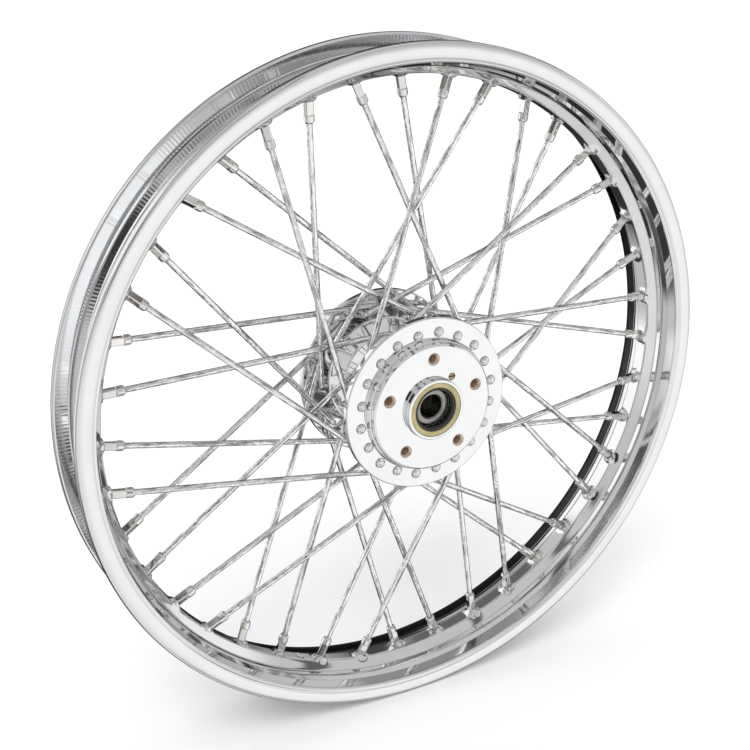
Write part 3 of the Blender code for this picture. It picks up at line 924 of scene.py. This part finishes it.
def make_bearings(looks):
    rings = [
        # piece, CAD node, corners, finish, slot, body (None is the rollers' own)
        ("seal_shell", "seal_case", seal_case_corners(), "zinc", "seal_case", "wheel"),
        ("seal_rubber", "seal_lip", seal_lip_corners(), "rubber", "seal_rubber", "wheel"),
        ("cup_ring", "bearing_cup", cup_corners(), "bearing", "bearing_steel", "wheel"),
        ("cone_ring", "bearing_cone", cone_corners(), "bearing", "bearing_steel", "inner_races"),
        ("cage_ring", "roller_cage", cage_corners(), "cage", "bearing_steel", None),
    ]
    for label, end, side in (("disc_side", DISC_BOSS_END, -1), ("plain_side", PLAIN_BOSS_END, 1)):
        rollers = f"rollers_{label}"
        for name, node, corners, look, slot, body in rings:
            shape = ring_at(end, side, corners)
            piece(f"{name}_{label}", shape, looks[look], body or rollers, [f"{node}_{label}"])
        for i in range(ROLLER_COUNT):
            shape = roller_shape(end, side, 360 * i / ROLLER_COUNT)
            piece(f"roller_{label}_{i + 1:02d}", shape, looks["bearing"], rollers)


def make_sleeve(finish):
    reach = BEARING_DEPTH + CONE_LENGTH + 0.15
    start, end = DISC_BOSS_END + reach, PLAIN_BOSS_END - reach
    bore = CONE_BORE_RADIUS + 0.2
    for name, low, high, node in (
        ("spacer_tube", start, end - SHIM_THICKNESS - 0.15, "bearing_spacer_sleeve"),
        ("play_shim", end - SHIM_THICKNESS, end, "bearing_shim"),
    ):
        outer = [(SLEEVE_RADIUS, high, 0.3), (SLEEVE_RADIUS, low, 0.3)]
        inner = [(bore, low, 0.2), (bore, high, 0.2)]
        shape = revolve(rounded(outer + inner), SLEEVE_STEPS)
        piece(name, shape, finish, "inner_races", [node])


# --------------------------------------------------------------------------- studio


def make_camera():
    camera = bpy.data.objects.new("camera", bpy.data.cameras.new("camera"))
    camera.location = CAMERA_PLACE
    camera.rotation_euler = (math.radians(90 - CAMERA_DOWN), 0, math.radians(CAMERA_TURN))
    camera.data.lens = LENS
    bpy.context.scene.collection.objects.link(camera)
    bpy.context.scene.camera = camera


def make_floor(level):
    far = FLOOR_REACH
    corners = [(-far, -far, 0), (far, -far, 0), (far, far, 0), (-far, far, 0)]
    floor = new_object("floor", corners, [[0, 1, 2, 3]])
    floor.location.z = level
    g = Graph("pale_floor")
    g.drive("Base Color", g.between(g.noise(3.0), (0.93, 0.93, 0.94), (0.95, 0.95, 0.96)))
    g.shader.inputs["Roughness"].default_value = 0.9
    floor.data.materials.append(g.material)
    floor.visible_glossy = False


class Studio(Graph):
    """The light round the set: a pale room with white cards and dark flags, as plating mirrors them."""

    def __init__(self):
        self.tree = bpy.context.scene.world.node_tree
        self.direction = self.add("ShaderNodeTexCoord").outputs["Generated"]

    def math(self, operation, first, second=None):
        node = self.tree.nodes.new("ShaderNodeMath")
        node.operation = operation
        self.put(node, "0", first)
        if second is not None:
            self.put(node, "1", second)
        return node.outputs[0]

    def along(self, axis):
        node = self.tree.nodes.new("ShaderNodeVectorMath")
        node.operation = "DOT_PRODUCT"
        self.put(node, "0", self.direction)
        node.inputs[1].default_value = axis
        return node.outputs["Value"]

    def inside(self, forward, sideways, half, soft):
        """1 within half degrees of the card's middle on one axis, falling to 0 over the soft edge."""
        angle = self.math("ARCTAN2", sideways, forward)
        node = self.add("ShaderNodeMapRange", Value=self.math("ABSOLUTE", angle))
        node.interpolation_type = "SMOOTHSTEP"
        edge = math.radians(half)
        fade = math.radians(soft)
        limits = {"From Min": edge - fade, "From Max": edge + fade, "To Min": 1, "To Max": 0}
        for name, number in limits.items():
            node.inputs[name].default_value = number
        return node.outputs["Result"]

    def card(self, azimuth, elevation, half_width, half_height, soft):
        a, e = math.radians(azimuth), math.radians(elevation)
        forward = Vector((math.sin(a) * math.cos(e), math.cos(a) * math.cos(e), math.sin(e)))
        right = Vector((math.cos(a), -math.sin(a), 0))
        up = right.cross(forward)
        ahead = self.along(forward)
        wide = self.inside(ahead, self.along(right), half_width, soft)
        high = self.inside(ahead, self.along(up), half_height, soft)
        return self.math("MULTIPLY", wide, high)


def make_lights():
    """A white fill and a soft sun for all that is lit, and the studio for all that is mirrored."""
    world = bpy.data.worlds.new("studio")
    bpy.context.scene.world = world
    world.use_nodes = True
    studio = Studio()
    level = ROOM
    for *place, brightness in CARDS:
        mask = studio.card(*place)
        change = studio.math("SUBTRACT", brightness, level)
        level = studio.math("ADD", level, studio.math("MULTIPLY", mask, change))
    mirrored = studio.add("ShaderNodeLightPath").outputs["Is Glossy Ray"]
    change = studio.math("MULTIPLY", mirrored, studio.math("SUBTRACT", level, FILL))
    level = studio.math("ADD", FILL, change)
    background = world.node_tree.nodes["Background"]
    world.node_tree.links.new(level, background.inputs["Strength"])
    background.inputs["Color"].default_value = (0.985, 0.99, 1.0, 1)
    sun = bpy.data.objects.new("soft_key", bpy.data.lights.new("soft_key", "SUN"))
    sun.data.energy = SUN_STRENGTH
    sun.data.angle = math.radians(SUN_WIDTH)
    sun.rotation_euler = Vector(SUN_DIRECTION).to_track_quat("-Z", "Y").to_euler()
    sun.visible_glossy = False
    bpy.context.scene.collection.objects.link(sun)
    bpy.context.scene.view_settings.view_transform = "Standard"


def make_looks():
    """Every finish by name. The colours are the lighter and the darker of each one's clouding; for the
    wire they are the light and dark of its painted reflection streaks, and the near-black groove finish
    is painted shade.
    """
    return {
        "rim": plated("rim_plating", (0.89, 0.89, 0.885), (0.85, 0.85, 0.845), 0.05),
        "channel": plated("channel_plating", (0.93, 0.935, 0.94), (0.88, 0.885, 0.89), 0.10),
        # painted shade: near-black plating stands in for the shadow in the groove under the far rolled
        # edge
        "groove_shade": plated("painted_groove_shade", (0.05, 0.05, 0.052), (0.03, 0.03, 0.03), 0.20),
        "hub": plated("hub_plating", (0.95, 0.95, 0.945), (0.91, 0.91, 0.905), 0.04),
        "wire": wire_finish("wire_plating", (1.0, 0.99, 0.975), (0.46, 0.455, 0.45), 0.06),
        "nipple": plated("nipple_plating", (0.97, 0.95, 0.92), (0.86, 0.83, 0.80), 0.09),
        "bearing": steel("bearing_steel", (0.42, 0.41, 0.39), (0.30, 0.29, 0.27), 0.25),
        "cage": steel("cage_steel", (0.30, 0.29, 0.28), (0.22, 0.21, 0.20), 0.4),
        "sleeve": steel("sleeve_steel", (0.46, 0.42, 0.36), (0.33, 0.30, 0.25), 0.35),
        "zinc": zinc("seal_zinc"),
        "rubber": rubber("seal_rubber"),
        "bolt_hole": steel("bolt_hole_metal", (0.88, 0.74, 0.60), (0.70, 0.56, 0.44), 0.3),
        "plug": steel("plug_brass", (0.55, 0.44, 0.28), (0.40, 0.31, 0.20), 0.35),
    }


def make_spokes(spokes, looks):
    for spoke in spokes:
        name, shape = spoke["name"], wire_shape(spoke)
        wire = piece(f"wire_{name}", shape, looks["wire"], "wheel", [f"spoke_{name}"])
        unroll(wire.data, WIRE_SIDES)
        piece(f"nipple_{name}", nipple_shape(spoke), looks["nipple"], "wheel", sharp=18)


def main():
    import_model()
    packed = [list(corner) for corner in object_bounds()]
    looks = make_looks()
    spokes = spoke_list()
    make_rim(spokes, looks["rim"], looks["channel"], looks["groove_shade"])
    make_hub(spokes, looks["hub"], looks["bolt_hole"])
    make_spokes(spokes, looks)
    make_plug(looks["plug"])
    make_bearings(looks)
    make_sleeve(looks["sleeve"])
    make_camera()
    make_floor(packed[0][2])
    make_lights()


main()
